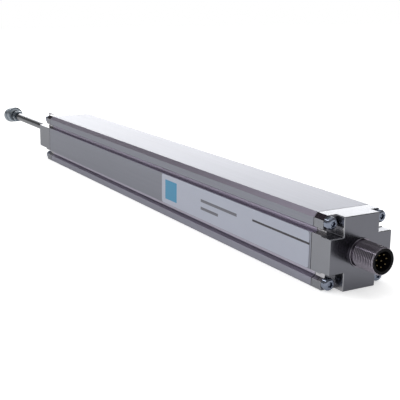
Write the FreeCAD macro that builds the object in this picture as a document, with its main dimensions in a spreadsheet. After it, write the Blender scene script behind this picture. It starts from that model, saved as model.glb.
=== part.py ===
import FreeCAD, Part
import math
import os

import Sketcher
from FreeCAD import Rotation, Vector

# Linear position sensor with a push rod, in millimetres.
# X runs along the housing towards the connector, Y across it, Z up.
# The origin is the middle of the housing's underside.

SIZES = {
    # Housing section, seen along X
    "housing_length": 309.0,
    "housing_width": 33.0,
    "housing_height": 32.4,
    "land_step": 0.75,
    "lower_land_top": 3.8,
    "centre_bottom": 7.6,
    "centre_top_drop": 8.4,
    "upper_groove_drop": 5.8,
    "upper_land_drop": 2.1,
    "chamfer_width": 2.0,
    "bottom_edge": 0.4,
    "groove_depth": 2.75,
    "groove_taper": 1.2,
    "axis_below_middle": 0.2,
    # Housing cavity
    "side_wall": 6.3,
    "floor_thickness": 2.8,
    "roof_thickness": 2.8,
    "channel_wall": 3.0,
    "channel_above_slot": 2.7,
    "channel_below_slot": 2.6,
    "slot_depth": 1.0,
    "lower_slot_height": 5.2,
    "upper_slot_drop": 7.4,
    # Cap screws and their holes
    "screw_side_distance": 3.4,
    "screw_below_land": 0.8,
    "upper_screw_drop": 3.2,
    "screw_diameter": 2.9,
    "screw_bite": 9.0,
    "head_diameter": 5.6,
    "head_height": 3.2,
    "head_round": 1.5,
    "head_seat_bevel": 0.4,
    "socket_flats": 2.3,
    "socket_depth": 1.3,
    "port_fit": 0.1,
    "cap_hole_fit": 0.5,
    # Caps
    "gasket_thickness": 0.4,
    "gasket_inset": 0.5,
    "front_flange": 7.1,
    "front_block": 13.5,
    "rear_flange": 6.1,
    "rear_block": 5.9,
    "lower_notch_width": 7.9,
    "upper_notch_width": 7.1,
    "lower_notch_height": 8.2,
    "upper_notch_height": 8.7,
    "cap_edge_round": 0.4,
    "spigot_depth": 2.0,
    "spigot_fit": 0.15,
    # Rod, its bearing and the end stop
    "rod_diameter": 6.0,
    "rod_shown": 97.8,
    "rod_chamfer": 0.5,
    "rod_thread_diameter": 5.0,
    "rod_thread_depth": 12.0,
    "running_fit": 0.03,
    "seated_fit": 0.05,
    "bush_wall": 2.0,
    "bush_flange_step": 1.5,
    "bush_flange_thickness": 1.5,
    "wiper_step": 0.5,
    "wiper_depth": 4.0,
    "wiper_lip": 0.8,
    "buffer_diameter": 16.0,
    "buffer_clearance": 0.5,
    "buffer_thickness": 3.0,
    # Travel of the rod from its place in this model
    "travel_out": 160.0,
    "travel_stop_gap": 1.0,
    # Carriage
    "carriage_length": 28.0,
    "carriage_above_slot": 1.1,
    "carriage_below_slot": 1.6,
    "carriage_gap": 0.4,
    "rod_socket_depth": 10.0,
    "clamp_wall": 8.0,
    "nut_pocket_width": 11.0,
    "washer_diameter": 9.6,
    "washer_thickness": 1.0,
    "nut_flats": 8.0,
    "nut_thickness": 4.0,
    "thread_runout": 2.0,
    # Resonator under the carriage
    "resonator_length": 22.0,
    "resonator_width": 15.0,
    "resonator_thickness": 1.0,
    "resonator_recess": 0.6,
    "coil_length": 18.0,
    "coil_width": 12.0,
    "coil_band": 3.0,
    "coil_thickness": 0.3,
    "capacitor_length": 3.2,
    "capacitor_width": 1.6,
    # Circuit boards
    "board_thickness": 1.6,
    "board_slot_fit": 0.1,
    "board_side_gap": 0.15,
    "coil_board_gap": 1.0,
    "electronics_length": 46.0,
    "chip_height": 1.5,
    "header_setback": 6.0,
    "header_pitch": 2.54,
    "header_pin_diameter": 0.64,
    "header_strip_width": 2.5,
    "header_strip_length": 16.0,
    # Ball coupling
    "ball_reach": 12.5,
    "ball_diameter": 7.5,
    "neck_diameter": 3.4,
    "stud_collar_diameter": 6.4,
    "stud_collar_length": 1.0,
    "ball_fit": 0.05,
    "seat_wall": 0.8,
    "seat_opening_reach": 1.5,
    "seat_front_reach": 3.0,
    "barrel_wall": 0.9,
    "barrel_floor": 0.95,
    "barrel_rear_reach": 4.5,
    "barrel_rear_round": 0.8,
    "barrel_front_round": 1.8,
    "barrel_waist_depth": 0.45,
    "barrel_waist_start": 2.0,
    "barrel_waist_length": 1.6,
    "ring_step": 0.45,
    "ring_reach": 2.45,
    "ring_setback": 0.3,
    "ring_overlap": 0.35,
    "coupling_bore_diameter": 4.2,
    "coupling_bore_depth": 5.4,
    "coupling_droop": 9.0,
    # Connector
    "connector_diameter": 12.0,
    "connector_reach": 13.8,
    "base_ring_step": 0.5,
    "base_ring_thickness": 0.9,
    "connector_tip_chamfer": 0.25,
    "shell_wall": 1.05,
    "tip_lip": 0.4,
    "tail_diameter": 10.0,
    "tail_wall": 0.95,
    "cap_wall": 4.4,
    "recess_width": 15.6,
    "recess_height": 21.6,
    "recess_floor": 1.5,
    "nut_recess_clearance": 0.5,
    "connector_nut_flats": 13.0,
    "connector_nut_thickness": 2.5,
    "tail_beyond_nut": 1.0,
    "insert_rim_length": 1.2,
    "contact_well_wall": 0.6,
    "contact_well_depth": 8.0,
    "insert_tail": 1.6,
    "key_width": 1.4,
    "key_height": 0.7,
    "pin_circle_diameter": 5.5,
    "pin_diameter": 0.8,
    "pin_tip_setback": 1.0,
    "pin_tail": 1.0,
    "pin_fit": 0.05,
    "seal_width": 1.0,
    "seal_height": 0.9,
    "seal_gap": 0.1,
    "connector_board_diameter": 13.0,
    "connector_board_thickness": 1.2,
    "flex_width": 6.0,
    "flex_thickness": 0.3,
    "flex_overlap": 5.0,
    # Label
    "label_length": 133.0,
    "label_end_gap": 1.2,
    "label_edge_gap": 0.2,
    "label_thickness": 0.12,
    "label_corner": 1.5,
}

RING_PINS = 7
HEADER_PINS = 6

# Packages on the electronics board: place along and across it, length and width
CHIPS = (
    (4.0, -7.0, 7.0, 7.0),
    (14.0, -7.5, 5.0, 6.0),
    (14.0, 2.0, 5.0, 4.0),
    (22.0, -5.0, 10.0, 10.0),
    (34.0, -6.0, 3.0, 5.0),
)

doc = FreeCAD.newDocument("linear_position_sensor")
sheet = doc.addObject("Spreadsheet::Sheet", "sizes")
for row, (alias, number) in enumerate(SIZES.items(), start=1):
    sheet.set(f"A{row}", alias)
    sheet.set(f"B{row}", str(number))
    sheet.setAlias(f"B{row}", alias)
doc.recompute()


class Length:
    """A length: its number, and the expression over the spreadsheet that gives it."""

    def __init__(self, number, text):
        self.number = number
        self.text = text

    def __add__(self, other):
        return Length(self.number + number_of(other), f"({self.text} + {text_of(other)})")

    def __sub__(self, other):
        return Length(self.number - number_of(other), f"({self.text} - {text_of(other)})")

    def __mul__(self, factor):
        return Length(self.number * factor, f"({self.text} * {factor})")

    def __truediv__(self, factor):
        return Length(self.number / factor, f"({self.text} / {factor})")

    def __neg__(self):
        return Length(-self.number, f"(0 - {self.text})")


def number_of(value):
    return value.number if isinstance(value, Length) else value


def text_of(value):
    return value.text if isinstance(value, Length) else str(value)


def size(alias):
    """The named size of the spreadsheet."""
    return Length(float(sheet.get(alias)), f"sizes.{alias}")


def bind(thing, name, value):
    """Ties a property of an object to its sizes."""
    thing.setExpression(name, text_of(value))


def place(thing, x=0, y=0, z=0):
    """Puts an object at a point given by sizes."""
    for direction, value in (("x", x), ("y", y), ("z", z)):
        bind(thing, f"Placement.Base.{direction}", value)
    return thing


# Sketches


def sketch_on(body, role, offset=0, raised=0):
    """A sketch on one of the body's own planes, moved along its normal and up the plane."""
    sketch = body.newObject("Sketcher::SketchObject", f"{body.Name}_sketch")
    plane = next(item for item in body.Origin.OriginFeatures if item.Role == role)
    sketch.AttachmentSupport = (plane, [""])
    sketch.MapMode = "FlatFace"
    bind(sketch, "AttachmentOffset.Base.z", offset)
    bind(sketch, "AttachmentOffset.Base.y", raised)
    return sketch


def tie_point(sketch, line, end, across, up):
    """Ties one end of a line, or a circle's centre, to its distances from the sketch's origin."""
    for kind, value, sketch_axis in (("DistanceX", across, -2), ("DistanceY", up, -1)):
        if number_of(value) == 0:
            sketch.addConstraint(Sketcher.Constraint("PointOnObject", line, end, sketch_axis))
        else:
            rule = Sketcher.Constraint(kind, -1, 1, line, end, number_of(value))
            bind(sketch, f"Constraints[{sketch.addConstraint(rule)}]", value)


def draw_outline(sketch, corners):
    """Draws the closed outline through the corners."""
    first = sketch.GeometryCount
    points = [Vector(number_of(across), number_of(up), 0) for across, up in corners]
    for start, end in zip(points, points[1:] + points[:1]):
        sketch.addGeometry(Part.LineSegment(start, end), False)
    for index, (across, up) in enumerate(corners):
        following = first + (index + 1) % len(corners)
        sketch.addConstraint(Sketcher.Constraint("Coincident", first + index, 2, following, 1))
        tie_point(sketch, first + index, 1, across, up)


def draw_circle(sketch, across, up, diameter):
    """Draws a circle about a point."""
    centre = Vector(number_of(across), number_of(up), 0)
    line = sketch.addGeometry(Part.Circle(centre, Vector(0, 0, 1), number_of(diameter) / 2), False)
    tie_point(sketch, line, 3, across, up)
    rule = Sketcher.Constraint("Diameter", line, number_of(diameter))
    bind(sketch, f"Constraints[{sketch.addConstraint(rule)}]", diameter)


def mirrored(half):
    """Both halves of an outline, from the corners of its right half, bottom to top."""
    return half + [(-across, up) for across, up in reversed(half)]


def rectangle(half_width, bottom, top):
    """The corners of a rectangle about the middle plane."""
    return mirrored([(half_width, bottom), (half_width, top)])


def hexagon(flats, height):
    """The corners of a hexagon about the axis, from its width across flats."""
    side = flats / math.sqrt(3)
    half = [(side / 2, -flats / 2 + height), (side, height), (side / 2, flats / 2 + height)]
    return mirrored(half)


# Features


def new_body(name):
    body = doc.addObject("PartDesign::Body", name)
    body.Label = name
    return body


def pad(body, start, length, *drawings, role="YZ_Plane"):
    """Adds material along the plane's normal from its start."""
    sketch = sketch_on(body, role, start)
    for drawing in drawings:
        drawing(sketch)
    feature = body.newObject("PartDesign::Pad", f"{body.Name}_pad")
    feature.Profile = sketch
    bind(feature, "Length", length)
    doc.recompute()
    return feature


def pocket(body, start, length, *drawings):
    """Cuts along +X from the start, and checks that it has cut."""
    before = body.Shape.Volume
    sketch = sketch_on(body, "YZ_Plane", start)
    for drawing in drawings:
        drawing(sketch)
    feature = body.newObject("PartDesign::Pocket", f"{body.Name}_pocket")
    feature.Profile = sketch
    feature.Reversed = True
    bind(feature, "Length", length)
    doc.recompute()
    if not feature.isValid() or body.Shape.Volume >= before:
        raise RuntimeError(f"A pocket of {body.Name} cuts nothing.")
    return feature


def turned(name, corners, height=0, fillets=()):
    """A body turned about a line along X, from its half section as (along, radius)."""
    body = new_body(name)
    sketch = sketch_on(body, "XZ_Plane", raised=height)
    draw_outline(sketch, corners)
    feature = body.newObject("PartDesign::Revolution", f"{name}_turned")
    feature.Profile = sketch
    feature.ReferenceAxis = (sketch, ["H_Axis"])
    feature.Angle = 360
    doc.recompute()
    for along, radius, rounding in fillets:
        round_edges(body, rounding, circle_at(along, radius, height))
    return body


def tube(start, end, inner, outer):
    """The half section of a plain tube or rod."""
    return [(start, inner), (end, inner), (end, outer), (start, outer)]


def circle_at(along, radius, height=0):
    """Picks the circular edge of a turned piece at a place along its axis."""
    def picks(edge):
        curve = edge.Curve
        return (
            isinstance(curve, Part.Circle)
            and abs(curve.Radius - number_of(radius)) < 0.01
            and abs(curve.Center.x - number_of(along)) < 0.01
            and abs(curve.Center.z - number_of(height)) < 0.01
        )
    return picks


def round_edges(body, radius, picks):
    """Rounds the edges of the body's tip that the test picks."""
    base = body.Tip
    names = [f"Edge{index}" for index, edge in enumerate(base.Shape.Edges, start=1) if picks(edge)]
    if not names:
        raise RuntimeError(f"{body.Name} has no such edge to round.")
    feature = body.newObject("PartDesign::Fillet", f"{body.Name}_fillet")
    feature.Base = (base, names)
    bind(feature, "Radius", radius)
    doc.recompute()
    return feature


def group(name, copies):
    """One node of separate like solids."""
    compound = doc.addObject("Part::Compound", name)
    compound.Label = name
    compound.Links = copies
    return compound


def copy_of(body, x=0, y=0, z=0):
    """A linked copy of a body at another place."""
    link = doc.addObject("App::Link", f"{body.Name}_copy")
    link.LinkedObject = body
    link.LinkTransform = True
    return place(link, x, y, z)


# Places along the housing

front_plane = -size("housing_length") / 2
rear_plane = size("housing_length") / 2
front_seat = front_plane - size("gasket_thickness")
rear_seat = rear_plane + size("gasket_thickness")
front_face = front_seat - size("front_flange") - size("front_block")
rear_face = rear_seat + size("rear_flange") + size("rear_block")
height = size("housing_height")
axis = height / 2 - size("axis_below_middle")

half_width = size("housing_width") / 2
land_half = half_width - size("land_step")
groove_half = half_width - size("groove_depth")
centre_top = height - size("centre_top_drop")
upper_land_bottom = height - size("upper_groove_drop")
cavity_half = half_width - size("side_wall")
cavity_bottom = size("floor_thickness")
cavity_top = height - size("roof_thickness")
slot_half = cavity_half + size("slot_depth")
slot_height = size("board_thickness") + size("board_slot_fit")
lower_slot = size("lower_slot_height")
upper_slot = height - size("upper_slot_drop")
channel_half = half_width - size("channel_wall")
channel_bottom = lower_slot + slot_height + size("channel_above_slot")
channel_top = upper_slot - size("channel_below_slot")
port_diameter = size("screw_diameter") + size("port_fit")
cap_hole_diameter = size("screw_diameter") + size("cap_hole_fit")

rod_radius = size("rod_diameter") / 2
bush_radius = rod_radius + size("bush_wall")
bush_flange_radius = bush_radius + size("bush_flange_step")
wiper_radius = bush_radius + size("wiper_step")


# Housing


def outer_section(inset=0):
    """The outline of the housing, which the flanges and gaskets repeat."""
    return mirrored([
        (land_half - size("bottom_edge") - inset, Length(0.0, "0") + inset),
        (land_half - inset, size("bottom_edge") + inset),
        (land_half - inset, size("lower_land_top")),
        (groove_half - inset, size("lower_land_top") + size("groove_taper")),
        (groove_half - inset, size("centre_bottom")),
        (half_width - inset, size("centre_bottom")),
        (half_width - inset, centre_top),
        (groove_half - inset, centre_top),
        (groove_half - inset, upper_land_bottom - size("groove_taper")),
        (land_half - inset, upper_land_bottom),
        (land_half - inset, height - size("upper_land_drop")),
        (land_half - size("chamfer_width") - inset, height - inset),
    ])


def cavity_section():
    """The cavity, with a slot for each board and a channel each side for the carriage."""
    return mirrored([
        (cavity_half, cavity_bottom),
        (cavity_half, lower_slot),
        (slot_half, lower_slot),
        (slot_half, lower_slot + slot_height),
        (cavity_half, lower_slot + slot_height),
        (cavity_half, channel_bottom),
        (channel_half, channel_bottom),
        (channel_half, channel_top),
        (cavity_half, channel_top),
        (cavity_half, upper_slot),
        (slot_half, upper_slot),
        (slot_half, upper_slot + slot_height),
        (cavity_half, upper_slot + slot_height),
        (cavity_half, cavity_top),
    ])


def screw_places():
    """Where the four screws of a cap stand, as (across, up)."""
    across = half_width - size("screw_side_distance")
    lower = size("lower_land_top") - size("screw_below_land")
    heights = (lower, height - size("upper_screw_drop"))
    return [(side, up) for up in heights for side in (across, -across)]


def screw_circles(diameter):
    """Draws the four screw holes."""
    def draws(sketch):
        for across, up in screw_places():
            draw_circle(sketch, across, up, diameter)
    return draws


def closed(corners):
    """Draws an outline."""
    return lambda sketch: draw_outline(sketch, corners)


def round_hole(diameter, up=0):
    """Draws a circle on the middle plane."""
    return lambda sketch: draw_circle(sketch, 0, up, diameter)


def make_housing():
    body = new_body("housing_profile")
    length = size("housing_length")
    pad(body, front_plane, length, closed(outer_section()))
    pocket(body, front_plane, length, closed(cavity_section()))
    pocket(body, front_plane, length, screw_circles(port_diameter))
    return body


# Caps, each with its inner face at x = 0 and its outer face towards +X


def cross_section():
    """The block in front of a flange: the outline less its four corner notches."""
    lower_bar = half_width - size("lower_notch_width")
    upper_bar = half_width - size("upper_notch_width")
    return mirrored([
        (lower_bar, Length(0.0, "0")),
        (lower_bar, size("lower_notch_height")),
        (half_width, size("lower_notch_height")),
        (half_width, height - size("upper_notch_height")),
        (upper_bar, height - size("upper_notch_height")),
        (upper_bar, height),
    ])


def spigot_section():
    """The plug of a cap that enters the cavity."""
    fit = size("spigot_fit")
    return rectangle(cavity_half - fit, cavity_bottom + fit, cavity_top - fit)


def make_cap(name, flange, block):
    """A flange with the housing's outline, a cross-shaped block and a spigot."""
    body = new_body(name)
    total = flange + block
    pad(body, 0, flange, closed(outer_section()))
    pad(body, flange, block, closed(cross_section()))
    pad(body, -size("spigot_depth"), size("spigot_depth"), closed(spigot_section()))
    pocket(body, 0, flange, screw_circles(cap_hole_diameter))
    front = number_of(total)
    back = number_of(flange)

    def block_edges(edge):
        box = edge.BoundBox
        return box.XMax > back + 0.01 and (box.XMax - box.XMin > 0.01 or box.XMin > front - 0.01)

    round_edges(body, size("cap_edge_round"), block_edges)
    return body


def make_front_cap():
    body = make_cap("front_cap", size("front_flange"), size("front_block"))
    spigot = size("spigot_depth")
    total = size("front_flange") + size("front_block")
    bearing = round_hole(bush_radius * 2, axis)
    flange_recess = round_hole(bush_flange_radius * 2 + size("spigot_fit"), axis)
    wiper_seat = round_hole(wiper_radius * 2, axis)
    pocket(body, -spigot, total + spigot, bearing)
    pocket(body, -spigot, spigot, flange_recess)
    pocket(body, total - size("wiper_depth"), size("wiper_depth"), wiper_seat)
    bind(body, "Placement.Base.x", front_seat)
    body.Placement.Rotation = Rotation(Vector(0, 0, 1), 180)
    return body


def make_rear_cap():
    body = make_cap("rear_cap", size("rear_flange"), size("rear_block"))
    spigot = size("spigot_depth")
    total = size("rear_flange") + size("rear_block")
    half_height = size("recess_height") / 2
    recess = rectangle(size("recess_width") / 2, axis - half_height, axis + half_height)
    recess_depth = size("rear_flange") - size("recess_floor") + spigot
    nut_width = size("connector_nut_flats") * (2 / math.sqrt(3))
    nut_recess = round_hole(nut_width + size("nut_recess_clearance") * 2, axis)
    passage = round_hole(size("tail_diameter") + size("seated_fit") * 2, axis)
    seal_bore = size("tail_diameter") + (size("seal_gap") + size("seal_width")) * 2
    pocket(body, -spigot, recess_depth, closed(recess))
    pocket(body, -spigot, total - size("cap_wall") + spigot, nut_recess)
    pocket(body, total - size("cap_wall"), size("cap_wall"), passage)
    pocket(body, total - size("seal_height"), size("seal_height"), round_hole(seal_bore, axis))
    bind(body, "Placement.Base.x", rear_seat)
    return body


def make_gasket(name, start):
    body = new_body(name)
    inset = size("gasket_inset")
    opening = rectangle(cavity_half, cavity_bottom, cavity_top)
    pad(body, start, size("gasket_thickness"), closed(outer_section(inset)), closed(opening),
        screw_circles(cap_hole_diameter))
    return body


def make_screw(flange, name):
    """A round-topped screw on the X axis, with its head's seat at x = 0, its head towards +X."""
    shank = size("screw_diameter") / 2
    head = size("head_diameter") / 2
    bottom = -(flange + size("gasket_thickness") + size("screw_bite"))
    tip = shank / 2
    bevel = size("head_seat_bevel")
    outline = [
        (bottom, 0), (size("head_height"), 0), (size("head_height"), head), (bevel, head),
        (0, head - bevel), (0, shank), (bottom + tip, shank), (bottom, tip),
    ]
    rounding = [(size("head_height"), head, size("head_round"))]
    body = turned(name, outline, fillets=rounding)
    depth = size("socket_depth")
    pocket(body, size("head_height") - depth, depth, closed(hexagon(size("socket_flats"), 0)))
    return body


def make_screws(name, flange, seat, direction):
    """The four screws of one cap."""
    screw = make_screw(flange, f"{name}_pattern")
    copies = []
    for across, up in screw_places():
        copy = copy_of(screw, seat + flange * direction, across, up)
        if direction < 0:
            copy.Placement.Rotation = Rotation(Vector(0, 0, 1), 180)
        copies.append(copy)
    return group(name, copies)


# Rod and what guides it

rod_end = front_face - size("rod_shown")
ball_place = rod_end - size("ball_reach")
spigot_end = front_seat + size("spigot_depth")
buffer_face = spigot_end + size("buffer_thickness")
carriage_front = buffer_face + size("travel_stop_gap") + size("travel_out")
carriage_rear = carriage_front + size("carriage_length")
rod_shoulder = carriage_front + size("rod_socket_depth")
clamp_face = rod_shoulder + size("clamp_wall")
rod_tip = clamp_face + size("washer_thickness") + size("nut_thickness") + size("thread_runout")


def make_rod():
    """The rod: a threaded tip inside, a tapped bore for the ball stud outside."""
    thread = size("rod_thread_diameter") / 2
    bore = thread + size("running_fit") / 2
    bore_end = rod_end + size("rod_thread_depth")
    chamfer = size("rod_chamfer")
    tip = thread - chamfer
    mouth = rod_radius - min_of(chamfer / 2, rod_radius - bore)
    outline = [
        (bore_end, 0), (rod_tip, 0), (rod_tip, tip), (rod_tip - chamfer, thread),
        (rod_shoulder, thread), (rod_shoulder, rod_radius),
        (rod_end + chamfer, rod_radius), (rod_end, mouth), (rod_end, bore), (bore_end, bore),
    ]
    return turned("push_rod", outline, axis)


def make_bush():
    """Plain bearing of the rod, with its flange inside the spigot."""
    inner = rod_radius + size("running_fit")
    flange_end = front_seat + size("bush_flange_thickness")
    wiper_end = front_face + size("wiper_depth")
    outline = [
        (wiper_end, inner), (flange_end, inner), (flange_end, bush_flange_radius),
        (front_seat, bush_flange_radius), (front_seat, bush_radius), (wiper_end, bush_radius),
    ]
    return turned("guide_bush", outline, axis)


def make_wiper():
    """Wiper ring in the mouth of the bore, with its lip just outside."""
    inner = rod_radius + size("running_fit")
    lip = rod_radius + size("wiper_lip")
    inside = front_face + size("wiper_depth")
    outline = [
        (front_face - size("wiper_lip"), inner), (inside, inner), (inside, wiper_radius),
        (front_face, wiper_radius), (front_face, lip + size("wiper_lip")),
        (front_face - size("wiper_lip"), lip),
    ]
    return turned("rod_wiper", outline, axis)


def make_buffer():
    inner = rod_radius + size("buffer_clearance")
    ring = tube(spigot_end, buffer_face, inner, size("buffer_diameter") / 2)
    return turned("front_buffer", ring, axis)


def make_nut(name, start, thickness, flats, bore):
    """A hexagon nut on the rod's axis."""
    body = new_body(name)
    pad(body, start, thickness, closed(hexagon(flats, axis)), round_hole(bore, axis))
    return body


# Carriage

carriage_bottom = lower_slot + slot_height + size("carriage_above_slot")
carriage_top = upper_slot - size("carriage_below_slot")


def carriage_section():
    gap = size("carriage_gap")
    side = cavity_half - gap
    wing = channel_half - gap
    return mirrored([
        (side, carriage_bottom),
        (side, channel_bottom + gap),
        (wing, channel_bottom + gap),
        (wing, channel_top - gap),
        (side, channel_top - gap),
        (side, carriage_top),
    ])


def make_carriage():
    """The block that the rod moves, keyed by its wings in the side channels."""
    body = new_body("carriage")
    length = size("carriage_length")
    fit = size("seated_fit") * 2
    pad(body, carriage_front, length, closed(carriage_section()))
    pocket(body, carriage_front, size("rod_socket_depth"),
           round_hole(size("rod_diameter") + fit, axis))
    pocket(body, rod_shoulder, size("clamp_wall"),
           round_hole(size("rod_thread_diameter") + fit, axis))
    half = size("nut_pocket_width") / 2
    pocket(body, clamp_face, length, closed(rectangle(half, axis - half, axis + half)))
    recess = size("resonator_recess")
    side = size("resonator_width") / 2 + size("seated_fit")
    start = resonator_start - size("seated_fit")
    pocket(body, start, size("resonator_length") + fit,
           closed(rectangle(side, carriage_bottom - recess, carriage_bottom + recess)))
    return body


resonator_start = carriage_front + (size("carriage_length") - size("resonator_length")) / 2
resonator_top = carriage_bottom + size("resonator_recess")
resonator_bottom = resonator_top - size("resonator_thickness")


def make_resonator_board():
    body = new_body("resonator_board")
    pad(body, resonator_start, size("resonator_length"),
        closed(rectangle(size("resonator_width") / 2, resonator_bottom, resonator_top)))
    return body


def make_resonator_coil():
    """The flat winding under its board."""
    body = new_body("resonator_coil")
    middle = resonator_start + size("resonator_length") / 2
    sides = []
    for trim in (0, size("coil_band")):
        along = size("coil_length") / 2 - trim
        across = size("coil_width") / 2 - trim
        sides.append([
            (middle - along, -across), (middle + along, -across),
            (middle + along, across), (middle - along, across),
        ])
    pad(body, resonator_bottom - size("coil_thickness"), size("coil_thickness"),
        closed(sides[0]), closed(sides[1]), role="XY_Plane")
    return body


def make_box(name, x, y, z, length, width, depth):
    """A plain block from its lowest corner."""
    box = doc.addObject("Part::Box", name)
    box.Label = name
    bind(box, "Length", length)
    bind(box, "Width", width)
    bind(box, "Height", depth)
    return place(box, x, y, z)


def make_capacitor():
    middle = resonator_start + size("resonator_length") / 2
    width = size("capacitor_width")
    return make_box("resonator_capacitor", middle - size("capacitor_length") / 2, -width / 2,
                    resonator_bottom - size("coil_thickness"),
                    size("capacitor_length"), width, size("coil_thickness"))


# Circuit boards

board_half = slot_half - size("board_side_gap")
board_lift = size("board_slot_fit") / 2
coil_board_top = lower_slot + board_lift + size("board_thickness")
electronics_bottom = upper_slot + board_lift
electronics_top = electronics_bottom + size("board_thickness")
electronics_end = rear_seat - size("spigot_depth") - size("coil_board_gap")
electronics_start = electronics_end - size("electronics_length")
header_x = electronics_end - size("header_setback")


def make_board(name, start, end, bottom):
    body = new_body(name)
    pad(body, start, end - start,
        closed(rectangle(board_half, bottom, bottom + size("board_thickness"))))
    return body


def make_coil_board():
    start = spigot_end + size("coil_board_gap")
    return make_board("coil_board", start, electronics_end, lower_slot + board_lift)


def make_chips():
    """The packages on the electronics board."""
    chips = []
    for index, (along, across, length, width) in enumerate(CHIPS, start=1):
        chips.append(make_box(f"chip_{index}", electronics_start + along,
                              Length(across, str(across)), electronics_top,
                              length, width, size("chip_height")))
    return group("board_chips", chips)


def header_places():
    """How far each header pin stands from the middle plane."""
    return [(index - (HEADER_PINS - 1) / 2) for index in range(HEADER_PINS)]


def make_header():
    """The strip on the coil board, and the pins from it up to the electronics board."""
    strip = new_body("header_strip")
    width = size("header_strip_width")
    half = size("header_strip_length") / 2
    left = header_x - width / 2
    sketch_corners = [(left, -half), (left + width, -half), (left + width, half), (left, half)]

    def holes(sketch):
        for step in header_places():
            draw_circle(sketch, header_x, size("header_pitch") * step,
                        size("header_pin_diameter") + size("pin_fit"))

    pad(strip, coil_board_top, width, closed(sketch_corners), holes, role="XY_Plane")
    pin = doc.addObject("Part::Cylinder", "header_pin")
    bind(pin, "Radius", size("header_pin_diameter") / 2)
    bind(pin, "Height", electronics_bottom - coil_board_top)
    steps = header_places()
    pins = [copy_of(pin, header_x, size("header_pitch") * step, coil_board_top) for step in steps]
    return strip, group("header_pins", pins)


# Ball coupling, in a frame with the ball's centre at the origin and the rod towards +X

ball_radius = size("ball_diameter") / 2
seat_inner = ball_radius + size("ball_fit")
seat_outer = seat_inner + size("seat_wall")
barrel_bore = seat_outer + size("ball_fit")
ring_seat = barrel_bore + size("ring_step")


def ball(name, radius):
    sphere = doc.addObject("Part::Sphere", name)
    bind(sphere, "Radius", radius)
    return sphere


def combine(kind, name, base, tool):
    """Cuts, joins or intersects two objects."""
    result = doc.addObject(f"Part::{kind}", name)
    result.Base = base
    result.Tool = tool
    return result


def make_ball_stud():
    """Shank, collar, neck and ball in one piece, screwed into the rod's end."""
    shank = size("rod_thread_diameter") / 2
    neck = size("neck_diameter") / 2
    collar = size("stud_collar_diameter") / 2
    nut_front = size("ball_reach") - size("nut_thickness")
    inner_end = size("ball_reach") + size("rod_thread_depth") - size("rod_chamfer")
    outline = [
        (0, 0), (inner_end, 0), (inner_end, shank), (nut_front, shank), (nut_front, collar),
        (nut_front - size("stud_collar_length"), collar),
        (nut_front - size("stud_collar_length"), neck), (0, neck),
    ]
    shaft = turned("ball_stud_shaft", outline)
    stud = combine("Fuse", "ball_stud", shaft, ball("ball_stud_ball", ball_radius))
    stud.Label = "ball_stud"
    return place(stud, ball_place, 0, axis)


def make_ball_seat():
    """A plastic shell round the ball, open at both ends, on which the barrel tilts."""
    shell = combine("Cut", "seat_shell", ball("seat_outside", seat_outer),
                    ball("seat_inside", seat_inner))
    front = -size("seat_front_reach")
    band = turned("seat_band", tube(front, size("seat_opening_reach"), 0, seat_outer * 2))
    seat = combine("Common", "ball_seat", shell, band)
    seat.Label = "ball_seat"
    return place(seat, ball_place, 0, axis)


def droop(thing):
    """Puts a piece at the ball, hanging by the coupling's droop."""
    bind(thing, "Placement", f"create(<<placement>>; create(<<vector>>; {ball_place.text}; 0; "
         f"{axis.text}); create(<<rotation>>; create(<<vector>>; 0; 1; 0); "
         f"0 - sizes.coupling_droop))")
    return thing


def make_barrel():
    """The barrel: bored for the seat and its ring, with a waist and a rounded front."""
    outer = ring_seat + size("barrel_wall")
    waist = outer - size("barrel_waist_depth")
    rear = size("barrel_rear_reach")
    shoulder = size("ring_reach")
    thread_end = -barrel_bore - size("barrel_floor")
    front = thread_end - size("coupling_bore_depth")
    step = size("barrel_waist_depth")
    waist_start = -size("barrel_waist_start")
    waist_end = waist_start - size("barrel_waist_length")
    thread = size("coupling_bore_diameter") / 2
    outline = [
        (rear, ring_seat), (rear, outer), (waist_start + step, outer), (waist_start, waist),
        (waist_end, waist), (waist_end - step, outer), (front, outer), (front, thread),
        (thread_end, thread), (thread_end, 0), (-barrel_bore, 0), (-barrel_bore, barrel_bore),
        (shoulder, barrel_bore), (shoulder, ring_seat),
    ]
    fillets = [
        (rear, outer, min_of(size("barrel_rear_round"), size("barrel_wall"))),
        (front, outer, size("barrel_front_round")),
    ]
    return droop(turned("coupling_socket", outline, fillets=fillets))


def min_of(rounding, wall):
    """A rounding kept a little smaller than the wall that it is on."""
    limit = wall * 0.9
    return Length(min(rounding.number, limit.number), f"min({rounding.text}; {limit.text})")


def make_ring():
    """The ring that closes the barrel behind the seat, with a mouth smaller than the ball."""
    rear = size("barrel_rear_reach") - size("ring_setback")
    mouth = ball_radius - size("ring_overlap")
    outer = ring_seat - size("ball_fit")
    return droop(turned("socket_ring", tube(size("ring_reach"), rear, mouth, outer)))


# Connector

tip_face = rear_face + size("connector_reach")
wall_back = rear_face - size("cap_wall")
nut_back = wall_back - size("connector_nut_thickness")
shell_back = nut_back - size("tail_beyond_nut")
insert_back = shell_back - size("insert_tail")
well_floor = tip_face - size("contact_well_depth")
board_back = insert_back - size("connector_board_thickness")
ring_end = rear_face + size("base_ring_thickness")
rim_start = tip_face - size("insert_rim_length")
shell_bore = size("connector_diameter") / 2 - size("shell_wall")
rim_bore = size("connector_diameter") / 2 - size("tip_lip")
tail_bore = size("tail_diameter") / 2 - size("tail_wall")


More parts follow.
